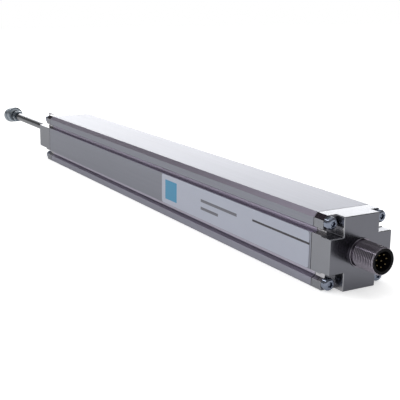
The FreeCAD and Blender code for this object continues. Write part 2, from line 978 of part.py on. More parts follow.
def make_connector_shell():
    """Threaded shell with its base ring and its narrower tail through the cap."""
    thread = size("connector_diameter") / 2
    base = thread + size("base_ring_step")
    tail = size("tail_diameter") / 2
    chamfer = size("connector_tip_chamfer")
    outline = [
        (shell_back, tail_bore), (ring_end, tail_bore), (ring_end, shell_bore),
        (rim_start, shell_bore), (rim_start, rim_bore), (tip_face, rim_bore),
        (tip_face, thread - chamfer), (tip_face - chamfer, thread), (ring_end, thread),
        (ring_end, base), (rear_face, base), (rear_face, tail), (shell_back, tail),
    ]
    return turned("connector_shell", outline, axis)


def make_insert():
    """Contact carrier: a well for the mating plug, a key on its wall and holes for the pins."""
    fit = size("seated_fit")
    back = tail_bore - fit
    body_radius = shell_bore - fit
    rim = rim_bore - fit
    well = body_radius - size("contact_well_wall")
    hole = size("pin_diameter") + size("pin_fit") * 2
    outline = [
        (insert_back, 0), (well_floor, 0), (well_floor, well), (tip_face, well), (tip_face, rim),
        (rim_start + fit, rim), (rim_start + fit, body_radius), (ring_end + fit, body_radius),
        (ring_end + fit, back), (insert_back, back),
    ]
    body = turned("connector_insert", outline, axis)
    key = rectangle(size("key_width") / 2, axis + well - size("key_height"),
                    axis + well + size("seated_fit"))
    pad(body, well_floor, size("contact_well_depth") - size("pin_tip_setback"), closed(key))

    def pin_holes(sketch):
        draw_circle(sketch, 0, axis, hole)
        for across, up in ring_pin_places():
            draw_circle(sketch, across, up, hole)

    pocket(body, insert_back, well_floor - insert_back, pin_holes)
    return body


def ring_pin_places():
    """The pins round the middle one, clear of the key."""
    radius = size("pin_circle_diameter") / 2
    places = []
    for index in range(RING_PINS):
        turn = 2 * math.pi * (index + 0.5) / RING_PINS
        places.append((radius * round(math.sin(turn), 6), axis + radius * round(math.cos(turn), 6)))
    return places


def make_pins():
    """Eight pins with chamfered tips."""
    radius = size("pin_diameter") / 2
    tip = tip_face - size("pin_tip_setback")
    tail = board_back - size("pin_tail")
    outline = [
        (tail, 0), (tip, 0), (tip, radius / 2), (tip - radius / 2, radius), (tail, radius),
    ]
    pin = turned("connector_pin", outline)
    places = [(0, axis)] + ring_pin_places()
    return group("connector_pins", [copy_of(pin, 0, across, up) for across, up in places])


def make_seal():
    """Flat rubber ring between the connector's base ring and the cap."""
    inner = size("tail_diameter") / 2 + size("seal_gap")
    ring = tube(rear_face - size("seal_height"), rear_face, inner, inner + size("seal_width"))
    return turned("connector_seal", ring, axis)


def make_connector_board():
    """Round board on the tails of the pins."""
    body = new_body("connector_board")

    def holes(sketch):
        diameter = size("pin_diameter") + size("pin_fit") * 2
        draw_circle(sketch, 0, axis, diameter)
        for across, up in ring_pin_places():
            draw_circle(sketch, across, up, diameter)

    pad(body, board_back, size("connector_board_thickness"),
        round_hole(size("connector_board_diameter"), axis), holes)
    return body


def make_flex():
    """Flexible strip from the connector's board up and over to the electronics board."""
    body = new_body("link_flex")
    thickness = size("flex_thickness")
    bottom = axis + size("pin_circle_diameter") / 2 + size("pin_diameter")
    left = electronics_end - size("flex_overlap")
    corners = [
        (left, electronics_bottom - thickness), (board_back - thickness, electronics_bottom - thickness),
        (board_back - thickness, bottom), (board_back, bottom),
        (board_back, electronics_bottom), (left, electronics_bottom),
    ]
    pad(body, -size("flex_width") / 2, size("flex_width"), closed(corners), role="XZ_Plane")
    return body


# Label on the -Y side


def make_label():
    body = new_body("label")
    right = rear_plane - size("label_end_gap")
    left = right - size("label_length")
    bottom = size("centre_bottom") + size("label_edge_gap")
    top = centre_top - size("label_edge_gap")
    pad(body, half_width, size("label_thickness"),
        closed([(left, bottom), (right, bottom), (right, top), (left, top)]), role="XZ_Plane")

    def corner(edge):
        box = edge.BoundBox
        return box.YMax - box.YMin > 0.01

    round_edges(body, size("label_corner"), corner)
    return body


# All pieces

make_housing()
make_front_cap()
make_rear_cap()
make_gasket("front_gasket", front_seat)
make_gasket("rear_gasket", rear_plane)
make_screws("front_cap_screws", size("front_flange"), front_seat, -1)
make_screws("rear_cap_screws", size("rear_flange"), rear_seat, 1)
make_rod()
make_bush()
make_wiper()
make_buffer()
nut_bore = size("rod_thread_diameter") + size("seated_fit") * 2
make_nut("rod_lock_nut", rod_end - size("nut_thickness"), size("nut_thickness"),
         size("nut_flats"), nut_bore)
make_carriage()
washer = tube(clamp_face, clamp_face + size("washer_thickness"), nut_bore / 2,
              size("washer_diameter") / 2)
turned("carriage_washer", washer, axis)
make_nut("carriage_nut", clamp_face + size("washer_thickness"), size("nut_thickness"),
         size("nut_flats"), nut_bore)
make_resonator_board()
make_resonator_coil()
make_capacitor()
make_coil_board()
make_board("electronics_board", electronics_start, electronics_end, electronics_bottom)
make_chips()
make_header()
make_ball_stud()
make_ball_seat()
make_barrel()
make_ring()
make_connector_shell()
make_insert()
make_pins()
make_seal()
make_nut("connector_nut", nut_back, size("connector_nut_thickness"),
         size("connector_nut_flats"), size("tail_diameter") + size("seated_fit") * 2)
make_connector_board()
make_flex()
make_label()
doc.recompute()

NODES = (
    "housing_profile", "front_cap", "rear_cap", "front_gasket", "rear_gasket",
    "front_cap_screws", "rear_cap_screws", "push_rod", "guide_bush", "rod_wiper",
    "front_buffer", "rod_lock_nut", "carriage", "carriage_washer", "carriage_nut",
    "resonator_board", "resonator_coil", "resonator_capacitor", "coil_board",
    "electronics_board", "board_chips", "header_strip", "header_pins", "ball_stud",
    "ball_seat", "coupling_socket", "socket_ring", "connector_shell", "connector_insert",
    "connector_pins", "connector_seal", "connector_nut", "connector_board", "link_flex",
    "label",
)

for thing in doc.Objects:
    if "Invalid" in thing.State or "Error" in thing.State:
        raise RuntimeError(f"{thing.Name} failed: {thing.State}")

os.makedirs("parts", exist_ok=True)
for name in NODES:
    shape = doc.getObject(name).Shape
    if shape.isNull() or not shape.isValid() or not shape.Solids:
        raise RuntimeError(f"{name} has no valid shape.")
    solids = shape.Solids
    whole = solids[0] if len(solids) == 1 else Part.makeCompound(solids)
    whole.exportStep(f"parts/{name}.step")
    print(f"{name}: {len(solids)} solids, {whole.Volume:.2f} mm3")
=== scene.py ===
"""Linear position sensor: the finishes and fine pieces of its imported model, and a plain studio."""
import math

import bmesh
import bpy
from bpy.props import FloatProperty, FloatVectorProperty, IntProperty, PointerProperty
from bpy.types import Operator, Panel, PropertyGroup
from mathutils import Matrix, Vector


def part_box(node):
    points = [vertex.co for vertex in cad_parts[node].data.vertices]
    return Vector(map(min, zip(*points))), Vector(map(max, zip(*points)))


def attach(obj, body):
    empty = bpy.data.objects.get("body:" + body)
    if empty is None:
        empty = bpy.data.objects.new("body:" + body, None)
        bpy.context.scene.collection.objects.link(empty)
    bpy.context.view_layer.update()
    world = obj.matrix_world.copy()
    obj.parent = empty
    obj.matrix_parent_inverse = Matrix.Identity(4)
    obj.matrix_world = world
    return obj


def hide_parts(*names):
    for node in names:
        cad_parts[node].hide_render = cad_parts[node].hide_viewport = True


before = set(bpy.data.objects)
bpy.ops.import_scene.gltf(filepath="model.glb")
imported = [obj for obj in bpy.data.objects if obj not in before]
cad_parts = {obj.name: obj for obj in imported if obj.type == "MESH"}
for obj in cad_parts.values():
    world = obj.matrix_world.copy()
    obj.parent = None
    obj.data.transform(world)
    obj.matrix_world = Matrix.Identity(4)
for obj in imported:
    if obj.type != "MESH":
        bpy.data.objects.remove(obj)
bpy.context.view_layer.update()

bl_info = {
    "name": "Linear Position Sensor",
    "version": (1, 0, 0),
    "blender": (4, 5, 0),
    "location": "3D View > Sidebar > Sensor",
    "description": "Finishes, thread, screws and label of a linear position sensor with a push rod",
    "category": "Object",
}

MILLIMETRE = 0.001


# Settings that a user would change


def colour(name, description, default):
    """A colour setting, in linear light."""
    return FloatVectorProperty(
        name=name, description=description, default=default, subtype="COLOR", size=3, min=0, max=1)


def distance(name, description, millimetres):
    """A length setting, given in millimetres and kept in metres."""
    return FloatProperty(
        name=name, description=description, default=millimetres * MILLIMETRE, unit="LENGTH",
        precision=5)


def share(name, description, default):
    """A setting from 0 to 1."""
    return FloatProperty(
        name=name, description=description, default=default, min=0, max=1, subtype="FACTOR")


def whole(name, description, default):
    """A setting that counts something."""
    return IntProperty(name=name, description=description, default=default, min=1)


def rotation(name, description, radians):
    """A setting for a turn."""
    return FloatProperty(name=name, description=description, default=radians, subtype="ANGLE")


def wattage(name, description, watts):
    """A setting for a lamp's power."""
    return FloatProperty(name=name, description=description, default=watts, unit="POWER")


class SensorFinish(PropertyGroup):
    """Colours of the sensor's metals, plastics and films, and of the painted light, shade and
    highlights on some of them.
    """

    aluminium: colour("Aluminium", "Anodised extrusion of the housing", (0.250, 0.256, 0.292))
    # Purple painted reflection on the housing's upper chamfers, on the one anodised skin.
    chamfer_painted_reflection: colour("Chamfers", "Skin of the housing's upper chamfers", (0.295, 0.270, 0.330))
    # Painted light in the grooves and on the feet, which lifts their shade on the one anodised skin.
    upper_groove: colour("Upper grooves", "Skin down in the upper grooves", (0.55, 0.51, 0.61))
    lower_groove: colour("Lower grooves", "Skin down in the lower grooves", (0.44, 0.415, 0.49))
    lower_land_painted_light: colour("Lower lands", "Skin of the feet under the grooves", (0.295, 0.295, 0.345))
    nickel: colour("Nickel", "Satin nickel skin of the cast caps", (0.235, 0.240, 0.260))
    # Painted shade on the caps' end faces, darker than the rest of the same nickel skin.
    end_face_painted_shade: colour("Faced nickel", "Darker skin of the ground end face", (0.150, 0.152, 0.172))
    # Dark painted reflection on the caps' upper chamfers.
    cap_chamfer_painted_reflection: colour("Cap chamfers", "Polished upper chamfers of the caps", (0.045, 0.036, 0.045))
    # Painted light in the caps' grooves and on the flanks beside the screws, which lifts their shade.
    recess_painted_light_nickel: colour("Cast nickel", "Paler skin in grooves and notches", (0.52, 0.51, 0.53))
    zinc: colour("Zinc", "Bright zinc of the cap screws and small nuts", (0.215, 0.240, 0.300))
    rod_steel: colour("Rod steel", "Ground and polished rod", (0.110, 0.113, 0.125))
    # Painted light: the ball stud's steel is paler than the rod's, to lift the coupling's shaded
    # mouth.
    ball_steel: colour("Ball steel", "Turned ball stud", (0.30, 0.32, 0.36))
    blued_zinc: colour("Dark zinc", "Bluish zinc of the ball coupling", (0.150, 0.178, 0.208))
    # Painted light: the ring's zinc is paler than the coupling's, to lift the shade in its mouth.
    ring_zinc_painted_light: colour("Ring zinc", "Paler ring in the coupling's mouth", (0.36, 0.40, 0.44))
    shell_nickel: colour("Shell nickel", "Plated shell of the connector", (0.190, 0.175, 0.205))
    bronze: colour("Bronze", "Sintered bearing bush", (0.42, 0.27, 0.13))
    # Gold darkened to about half, partly as painted shade of the connector's recess.
    gold: colour("Gold", "Contact pins and pads", (0.10, 0.078, 0.040))
    copper: colour("Copper", "Printed coil turns", (0.62, 0.28, 0.14))
    black_plastic: colour("Black plastic", "Contact carrier and chips", (0.005, 0.005, 0.006))
    white_plastic: colour("White plastic", "Carriage and ball seat", (0.66, 0.65, 0.60))
    rubber: colour("Rubber", "Gaskets, wiper and buffer", (0.018, 0.018, 0.020))
    board: colour("Board", "Solder mask of the boards", (0.012, 0.085, 0.032))
    track: colour("Tracks", "Solder mask over the boards' tracks", (0.0288, 0.204, 0.0768))
    amber: colour("Amber film", "Flexible link", (0.42, 0.16, 0.02))
    ceramic: colour("Ceramic", "Body of the capacitor", (0.33, 0.24, 0.15))
    label: colour("Label", "Silvery film of the label", (0.45, 0.475, 0.565))
    label_rule: colour("Label rule", "Dark printed line", (0.012, 0.008, 0.018))
    label_field: colour("Label field", "Blue printed field", (0.035, 0.26, 0.45))
    label_row: colour("Label rows", "Grey printed rows", (0.13, 0.13, 0.16))
    # Painted highlights on the narrow edges and on the thread's crests.
    aluminium_edge_highlight: colour("Aluminium edge", "Narrow edges of the housing", (0.5, 0.5, 0.55))
    nickel_edge_highlight: colour("Nickel edge", "Narrow edges of the caps", (0.75, 0.75, 0.74))
    zinc_edge_highlight: colour("Zinc edge", "Narrow edges of the ball coupling", (0.4, 0.45, 0.5))
    shell_crest_highlight: colour("Shell edge", "Crests of the connector's thread", (0.70, 0.65, 0.74))


class SensorProfile(PropertyGroup):
    """Where grooves, chamfers and screw notches are, so that painted light and shade can lie on them.
    """

    centre_face: distance("Centre face", "From the middle plane to the side's face", 16.5)
    lower_groove: distance("Lower groove", "Lower edge of the lower groove", 3.8)
    lower_groove_top: distance("Lower groove top", "Upper edge of the lower groove", 7.65)
    upper_groove: distance("Upper groove", "Lower edge of the upper groove", 24.0)
    upper_groove_top: distance("Upper groove top", "Upper edge of the upper groove", 26.6)
    chamfer_inner: distance("Chamfer's inner edge", "From the middle plane", 13.80)
    chamfer_outer: distance("Chamfer's outer edge", "From the middle plane", 15.72)
    chamfer_foot: distance("Chamfer's foot", "Above the underside", 30.33)
    chamfer_top: distance("Chamfer's top", "Above the underside", 32.37)
    upper_notch: distance("Upper notch", "From the middle plane to the upper notches", 9.4)
    upper_notch_foot: distance("Upper notch's foot", "Above the underside", 23.7)
    lower_notch: distance("Lower notch", "From the middle plane to the lower notches", 8.6)
    lower_notch_top: distance("Lower notch's top", "Above the underside", 8.2)
    skin_margin: distance("Skin margin", "How far a skin ends from an edge", 0.05)
    # Depth of the painted shade on the caps' end faces.
    shaded_face_depth: distance("Faced depth", "How deep the ground skin of the end faces goes", 0.03)


class SensorThread(PropertyGroup):
    """The connector's shell and its thread."""

    pitch: distance("Pitch", "Distance between two ridges", 1.0)
    depth: distance("Depth", "Height of a ridge", 0.55)
    crest_drop: distance("Crest drop", "From the ring's surface in to the crests", 0.5)
    relief: distance("Relief", "Plain neck behind the thread", 0.7)
    lead_in: distance("Lead-in", "Length over which the thread rises at its ends", 0.6)
    lead_height: share("Lead-in height", "Height of the thread at its ends against a ridge", 0.3)
    ring_length: distance("Ring length", "Plain ring against the cap", 0.9)
    edge: distance("Edge", "Bevel of the ring and the tip", 0.12)
    tail_radius: distance("Tail radius", "Outer radius inside the cap", 5.0)
    tail_bore: distance("Tail bore", "Inner radius inside the cap", 4.05)
    shell_bore: distance("Shell bore", "Inner radius under the thread", 4.95)
    rim_depth: distance("Rim depth", "Length of the rim round the contact carrier", 1.2)
    rim_gap: distance("Rim gap", "Between the rim and the contact carrier", 0.05)
    divisions: whole("Divisions", "Points round one turn", 96)
    rows: whole("Rows", "Rows of points on one pitch", 14)


class SensorScrew(PropertyGroup):
    """Round-topped screws of the caps, with six-lobed sockets."""

    head_radius: distance("Head radius", "Half of the head's diameter", 2.8)
    head_height: distance("Head height", "From the seat to the top of the head", 3.2)
    seat_bevel: distance("Seat bevel", "Bevel of the head's lower edge", 0.4)
    dome_radius: distance("Dome radius", "Rounding of the head's edge", 1.5)
    dome_rows: whole("Dome rows", "Rows of points on the dome", 12)
    socket_radius: distance("Socket radius", "Middle radius of the socket", 1.16)
    lobe: distance("Lobe", "How far the lobes stand from that radius", 0.17)
    lobes: whole("Lobes", "Lobes of the socket", 6)
    socket_depth: distance("Socket depth", "Depth of the socket", 1.25)
    socket_taper: share("Socket taper", "Radius of the socket's floor against its mouth", 0.9)
    dimple_depth: distance("Dimple depth", "Depth of the socket's floor in its middle", 0.25)
    dimple_radius: distance("Dimple radius", "Radius of the lowest point", 0.05)
    mouth_depth: distance("Mouth depth", "Lower edge of the socket's bevel under the top", 0.12)
    mouth_drop: distance("Mouth drop", "Upper edge of the socket's bevel under the top", 0.02)
    mouth_flare: distance("Mouth flare", "Width of the socket's bevel", 0.08)
    mouth_rim: distance("Mouth rim", "From the lobes' reach to the start of the dome", 0.1)
    first_turn: rotation("First turn", "Turn of the first socket", 0.37)
    turn_step: rotation("Turn step", "Turn from one socket to the next", 1.9)
    shank_radius: distance("Shank radius", "Outer radius of the thread", 1.45)
    plain_length: distance("Plain length", "Shank without a thread under the head", 9.0)
    thread_depth: distance("Thread depth", "Height of the shank's ridges", 0.26)
    thread_pitch: distance("Thread pitch", "Pitch of the shank's thread", 0.5)
    thread_rows: whole("Thread rows", "Rows of points on one pitch", 6)
    tip_share: share("Tip", "Radius of the shank's tip against the shank", 0.55)
    divisions: whole("Divisions", "Points round one turn", 72)


class SensorLabel(PropertyGroup):
    """Plain print on the label, measured from its left and lower edges."""

    rule_start: distance("Rule start", "Left end of the dark line", 89.9)
    rule_height: distance("Rule height", "Middle of the dark line", 10.75)
    rule_thickness: distance("Rule thickness", "Thickness of the dark line", 1.0)
    field_start: distance("Field start", "Left end of the blue field", 4.0)
    field_length: distance("Field length", "Length of the blue field", 13.0)
    field_bottom: distance("Field bottom", "Lower edge of the blue field", 2.6)
    field_height: distance("Field height", "Height of the blue field", 10.8)
    row_start: distance("Row start", "Left end of the two grey rows", 42.5)
    row_length: distance("Row length", "Length of the upper grey row", 34.0)
    row_top: distance("Row top", "Upper edge of the upper grey row", 10.6)
    row_height: distance("Row height", "Height of a grey row", 1.5)
    row_pitch: distance("Row pitch", "From one grey row to the next", 4.0)
    row_step: share("Row step", "Length of the lower row against the upper", 0.5)


class SensorStage(PropertyGroup):
    """Floor, lamps and camera."""

    ambient: share("Ambient", "Light from all round on matt surfaces", 0.60)
    backdrop: share("Backdrop", "Brightness of the backdrop in polished metal", 1.0)
    panel: share("Panel", "Brightness of the dark panel beside the backdrop", 0.30)
    panel_turn: rotation("Panel turn", "Compass direction of the dark panel", math.radians(222))
    upper_wall: share("Upper wall", "Brightness above the backdrop in polished metal", 0.25)
    ceiling: share("Ceiling", "Brightness straight above in polished metal", 0.80)
    floor: share("Floor", "Brightness of the pale floor", 0.86)
    floor_lift: share("Floor lift", "White added to the floor as seen", 0.50)
    floor_mirrored: share("Mirrored lift", "White added to the floor as metal mirrors it", 0.28)
    floor_radius: distance("Floor radius", "Half of the floor's width", 2200.0)
    overhead_power: wattage("Overhead power", "Soft lamp above the sensor", 4.0)
    back_power: wattage("Back power", "Lamp behind the sensor", 10.3)
    strip_power: wattage("Strip power", "Long narrow lamp above the label's side", 3.0)
    rim_power: wattage("Rim power", "Lamp that draws a line of light along round pieces", 1.3)
    focal_length: FloatProperty(
        name="Focal length", description="Lens for a 36 mm sensor, in millimetres", default=76.41)
    camera_place: FloatVectorProperty(
        name="Camera place", description="Where the camera stands", subtype="TRANSLATION",
        size=3, default=(0.4254, -0.2290, 0.1211))
    azimuth: rotation("Azimuth", "Camera's turn about the vertical", math.radians(59.69))
    elevation: rotation("Elevation", "Camera's height above the horizon", math.radians(13.81))
    roll: rotation("Roll", "Camera's lean", math.radians(0.61))


# Shader effects that several materials share


def effect_group(name, inputs, outputs):
    """An empty effect with named inputs and outputs."""
    tree = bpy.data.node_groups.new(name, "ShaderNodeTree")
    for label, kind, value in inputs:
        socket = tree.interface.new_socket(label, in_out="INPUT", socket_type=kind)
        socket.default_value = value
    for label, kind in outputs:
        tree.interface.new_socket(label, in_out="OUTPUT", socket_type=kind)
    return tree, tree.nodes.new("NodeGroupInput"), tree.nodes.new("NodeGroupOutput")


def math_node(tree, operation, first, second=None, third=None, clamp=False):
    """A Math node between numbers and sockets."""
    node = tree.nodes.new("ShaderNodeMath")
    node.operation = operation
    node.use_clamp = clamp
    for socket, value in zip(node.inputs, (first, second, third)):
        connect(tree, value, socket)
    return node.outputs[0]


def connect(tree, value, socket):
    """Links a socket, or sets a number or a colour."""
    if isinstance(value, bpy.types.NodeSocket):
        tree.links.new(value, socket)
    elif isinstance(value, (int, float)):
        socket.default_value = value
    elif value is not None:
        socket.default_value = (*value, 1.0)


def mixed(tree, factor, first, second):
    """A colour between two."""
    node = tree.nodes.new("ShaderNodeMix")
    node.data_type = "RGBA"
    connect(tree, factor, node.inputs[0])
    connect(tree, first, node.inputs[6])
    connect(tree, second, node.inputs[7])
    return node.outputs[2]


def stretched_noise(tree, scale, detail):
    """Noise over the piece's own coordinates, with a scale per millimetre along each axis."""
    place = tree.nodes.new("ShaderNodeTexCoord").outputs["Object"]
    stretch = tree.nodes.new("ShaderNodeVectorMath")
    stretch.operation = "MULTIPLY"
    tree.links.new(place, stretch.inputs[0])
    stretch.inputs[1].default_value = [value / MILLIMETRE for value in scale]
    noise = tree.nodes.new("ShaderNodeTexNoise")
    noise.inputs["Scale"].default_value = 1.0
    noise.inputs["Detail"].default_value = detail
    noise.inputs["Roughness"].default_value = 0.55
    tree.links.new(stretch.outputs[0], noise.inputs["Vector"])
    return noise.outputs["Fac"]


def spread(tree, factor, middle, amount):
    """A value that strays from its middle by the amount, as the factor goes from 0 to 1."""
    strayed = math_node(tree, "MULTIPLY_ADD", factor, 2.0, -1.0)
    return math_node(tree, "MULTIPLY_ADD", strayed, amount, middle)


def tinted(tree, factor, base, amount):
    """A colour made lighter and darker by the amount, as the factor goes from 0 to 1."""
    level = spread(tree, factor, 1.0, amount)
    scaled = tree.nodes.new("ShaderNodeVectorMath")
    scaled.operation = "SCALE"
    tree.links.new(base, scaled.inputs[0])
    tree.links.new(level, scaled.inputs["Scale"])
    return scaled.outputs[0]


FINISH_INPUTS = (
    ("Base", "NodeSocketColor", (0.5, 0.5, 0.5, 1.0)),
    ("Tint", "NodeSocketFloat", 0.1),
    ("Roughness", "NodeSocketFloat", 0.4),
    ("Roughness Spread", "NodeSocketFloat", 0.05),
)
FINISH_OUTPUTS = (
    ("Color", "NodeSocketColor"), ("Roughness", "NodeSocketFloat"), ("Height", "NodeSocketFloat"),
)


def finish_effect(name, scale, cloud_scale):
    """An effect of fine marks over slow clouds, each noise with its own scale per millimetre."""
    tree, given, result = effect_group(name, FINISH_INPUTS, FINISH_OUTPUTS)
    marks = stretched_noise(tree, scale, detail=3.0)
    clouds = stretched_noise(tree, cloud_scale, detail=2.0)
    both = math_node(tree, "MULTIPLY_ADD", clouds, 0.5, math_node(tree, "MULTIPLY", marks, 0.5))
    tree.links.new(tinted(tree, both, given.outputs["Base"], given.outputs["Tint"]),
                   result.inputs["Color"])
    tree.links.new(
        spread(tree, marks, given.outputs["Roughness"], given.outputs["Roughness Spread"]),
        result.inputs["Roughness"])
    tree.links.new(marks, result.inputs["Height"])
    return tree


# The effects built so far
EFFECTS = {}

# Scales of the marks and of the clouds along X, Y and Z, per millimetre
EFFECT_SCALES = {
    "drawn_lines": ((0.010, 2.4, 2.4), (0.014, 0.45, 0.45)),
    "cast_skin": ((2.6, 2.6, 2.6), (0.12, 0.12, 0.12)),
    "ground_rings": ((9.0, 0.25, 0.25), (0.4, 0.1, 0.1)),
    "plating_haze": ((1.1, 1.1, 1.1), (0.2, 0.2, 0.2)),
    "moulded_grain": ((5.5, 5.5, 5.5), (0.3, 0.3, 0.3)),
}


def effect(name):
    """The shared effect of that name, built at its first use."""
    if name not in EFFECTS:
        EFFECTS[name] = finish_effect(name, *EFFECT_SCALES[name])
    return EFFECTS[name]


# How fast the mask of the painted edge highlight rises with the bend of the surface
EDGE_GAIN = 8.0


def edge_highlight_group():
    """A mask that is 1 on narrow rounded edges, where a painted highlight goes."""
    if "edge_mask" not in EFFECTS:
        tree, given, result = effect_group(
            "edge_mask", [("Radius", "NodeSocketFloat", 0.0004)], [("Mask", "NodeSocketFloat")])
        bevel = tree.nodes.new("ShaderNodeBevel")
        bevel.samples = 4
        tree.links.new(given.outputs["Radius"], bevel.inputs["Radius"])
        surface = tree.nodes.new("ShaderNodeNewGeometry")
        match = tree.nodes.new("ShaderNodeVectorMath")
        match.operation = "DOT_PRODUCT"
        tree.links.new(bevel.outputs["Normal"], match.inputs[0])
        tree.links.new(surface.outputs["Normal"], match.inputs[1])
        bend = math_node(tree, "SUBTRACT", 1.0, match.outputs["Value"])
        tree.links.new(math_node(tree, "MULTIPLY", bend, EDGE_GAIN, clamp=True),
                       result.inputs["Mask"])
        EFFECTS["edge_mask"] = tree
    return EFFECTS["edge_mask"]


def span_group(axis):
    """A mask that is 1 in a span of X or Z, or of the distance from the middle plane for Y."""
    name = f"span_{axis.lower()}"
    if name not in EFFECTS:
        ends = [(end, "NodeSocketFloat", 0.0) for end in ("Low", "High")]
        tree, given, result = effect_group(name, ends, [("Mask", "NodeSocketFloat")])
        place = tree.nodes.new("ShaderNodeSeparateXYZ")
        tree.links.new(tree.nodes.new("ShaderNodeTexCoord").outputs["Object"], place.inputs[0])
        along = place.outputs[axis]
        if axis == "Y":
            along = math_node(tree, "ABSOLUTE", along)
        above = math_node(tree, "GREATER_THAN", along, given.outputs["Low"])
        below = math_node(tree, "LESS_THAN", along, given.outputs["High"])
        tree.links.new(math_node(tree, "MULTIPLY", above, below), result.inputs["Mask"])
        EFFECTS[name] = tree
    return EFFECTS[name]


def span_mask(tree, axis, low, high):
    """Places the span mask in a material."""
    node = tree.nodes.new("ShaderNodeGroup")
    node.node_tree = span_group(axis)
    node.inputs["Low"].default_value = low
    node.inputs["High"].default_value = high
    return node.outputs["Mask"]


def chamfer_mask(tree, profile):
    """1 on the upper chamfers, which the housing and both caps share."""
    aside = span_mask(tree, "Y", profile.chamfer_inner, profile.chamfer_outer)
    return math_node(tree, "MULTIPLY", aside,
                     span_mask(tree, "Z", profile.chamfer_foot, profile.chamfer_top))


def groove_mask(tree, profile, bottom, top):
    """1 inside the clamp grooves between two heights."""
    reach = span_mask(tree, "Y", 0.0, profile.centre_face - profile.skin_margin)
    return math_node(tree, "MULTIPLY", reach,
                     span_mask(tree, "Z", bottom - profile.skin_margin, top))


def lifted_recess_mask(tree, profile, front_seat, rear_seat):
    """1 where painted light lifts the caps' shade: their grooves, and the flanks beside the screws.
    """
    margin = profile.skin_margin
    # A height that no piece reaches
    beyond = 2 * profile.chamfer_top
    upper_flanks = math_node(
        tree, "MULTIPLY",
        span_mask(tree, "Y", profile.upper_notch - margin, profile.upper_notch + margin),
        span_mask(tree, "Z", profile.upper_notch_foot, beyond))
    lower_flanks = math_node(
        tree, "MULTIPLY",
        span_mask(tree, "Y", profile.lower_notch - margin, profile.lower_notch + margin),
        span_mask(tree, "Z", -beyond, profile.lower_notch_top))
    flanks = math_node(tree, "MAXIMUM", upper_flanks, lower_flanks)
    grooves = math_node(
        tree, "MAXIMUM",
        groove_mask(tree, profile, profile.lower_groove, profile.lower_groove_top),
        groove_mask(tree, profile, profile.upper_groove, profile.upper_groove_top))
    flanges = span_mask(tree, "X", front_seat + margin, rear_seat - margin)
    return math_node(
        tree, "MAXIMUM", math_node(tree, "MULTIPLY", grooves, flanges),
        math_node(tree, "MULTIPLY", flanks, math_node(tree, "SUBTRACT", 1.0, flanges)))


# Materials


def surface_material(name):
    """A material with only its surface shader and output."""
    material = bpy.data.materials.new(name)
    material.use_nodes = True
    tree = material.node_tree
    tree.nodes.clear()
    surface = tree.nodes.new("ShaderNodeBsdfPrincipled")
    output = tree.nodes.new("ShaderNodeOutputMaterial")
    tree.links.new(surface.outputs["BSDF"], output.inputs["Surface"])
    return material, tree, surface


# Each finish: its effect, tint, roughness, spread of the roughness, bump, and the bump's depth in
# millimetres
FINISHES = {
    "anodised_aluminium": ("drawn_lines", 0.17, 0.32, 0.06, 0.12, 0.01),
    "satin_nickel": ("cast_skin", 0.06, 0.20, 0.05, 0.08, 0.01),
    "black_rubber": ("moulded_grain", 0.15, 0.62, 0.08, 0.3, 0.02),
    "bright_zinc": ("plating_haze", 0.08, 0.11, 0.04, 0.06, 0.01),
    "polished_steel": ("ground_rings", 0.05, 0.24, 0.03, 0.05, 0.005),
    "sintered_bronze": ("cast_skin", 0.12, 0.38, 0.08, 0.2, 0.01),
    "turned_steel": ("ground_rings", 0.08, 0.26, 0.05, 0.08, 0.005),
    "dark_zinc": ("ground_rings", 0.12, 0.36, 0.05, 0.12, 0.008),
    "pale_zinc": ("plating_haze", 0.10, 0.42, 0.05, 0.2, 0.01),
    "white_acetal": ("moulded_grain", 0.03, 0.34, 0.05, 0.08, 0.02),
    "plated_shell": ("plating_haze", 0.08, 0.13, 0.05, 0.05, 0.01),
    "black_contact_carrier": ("moulded_grain", 0.2, 0.36, 0.06, 0.1, 0.02),
    "gold_contact": ("plating_haze", 0.06, 0.18, 0.04, 0.04, 0.01),
    "solder_mask": ("moulded_grain", 0.06, 0.32, 0.04, 0.1, 0.01),
    "chip_package": ("moulded_grain", 0.2, 0.48, 0.06, 0.3, 0.02),
    "printed_copper": ("plating_haze", 0.08, 0.28, 0.05, 0.1, 0.01),
    "capacitor_ceramic": ("cast_skin", 0.08, 0.5, 0.06, 0.3, 0.02),
    "amber_film": ("drawn_lines", 0.08, 0.22, 0.04, 0.05, 0.02),
    "label_film": ("plating_haze", 0.03, 0.38, 0.04, 0.05, 0.01),
}


def add_finish(tree, surface, name, base):
    """Feeds the surface with its finish, and returns the finish's colour."""
    effect_name, tint, roughness, roughness_spread, bump, depth = FINISHES[name]
    node = tree.nodes.new("ShaderNodeGroup")
    node.node_tree = effect(effect_name)
    connect(tree, base, node.inputs["Base"])
    node.inputs["Tint"].default_value = tint
    node.inputs["Roughness"].default_value = roughness
    node.inputs["Roughness Spread"].default_value = roughness_spread
    tree.links.new(node.outputs["Roughness"], surface.inputs["Roughness"])
    relief = tree.nodes.new("ShaderNodeBump")
    relief.inputs["Strength"].default_value = bump
    relief.inputs["Distance"].default_value = depth * MILLIMETRE
    tree.links.new(node.outputs["Height"], relief.inputs["Height"])
    tree.links.new(relief.outputs["Normal"], surface.inputs["Normal"])
    tree.links.new(node.outputs["Color"], surface.inputs["Base Color"])
    return node.outputs["Color"]


def paint_edge_highlight(tree, surface, body_colour, highlight_colour, radius, strength):
    """Mixes a painted highlight into the surface's colour on its narrow edges."""
    node = tree.nodes.new("ShaderNodeGroup")
    node.node_tree = edge_highlight_group()
    node.inputs["Radius"].default_value = radius * MILLIMETRE
    factor = math_node(tree, "MULTIPLY", node.outputs["Mask"], strength)
    tree.links.new(mixed(tree, factor, body_colour, highlight_colour), surface.inputs["Base Color"])


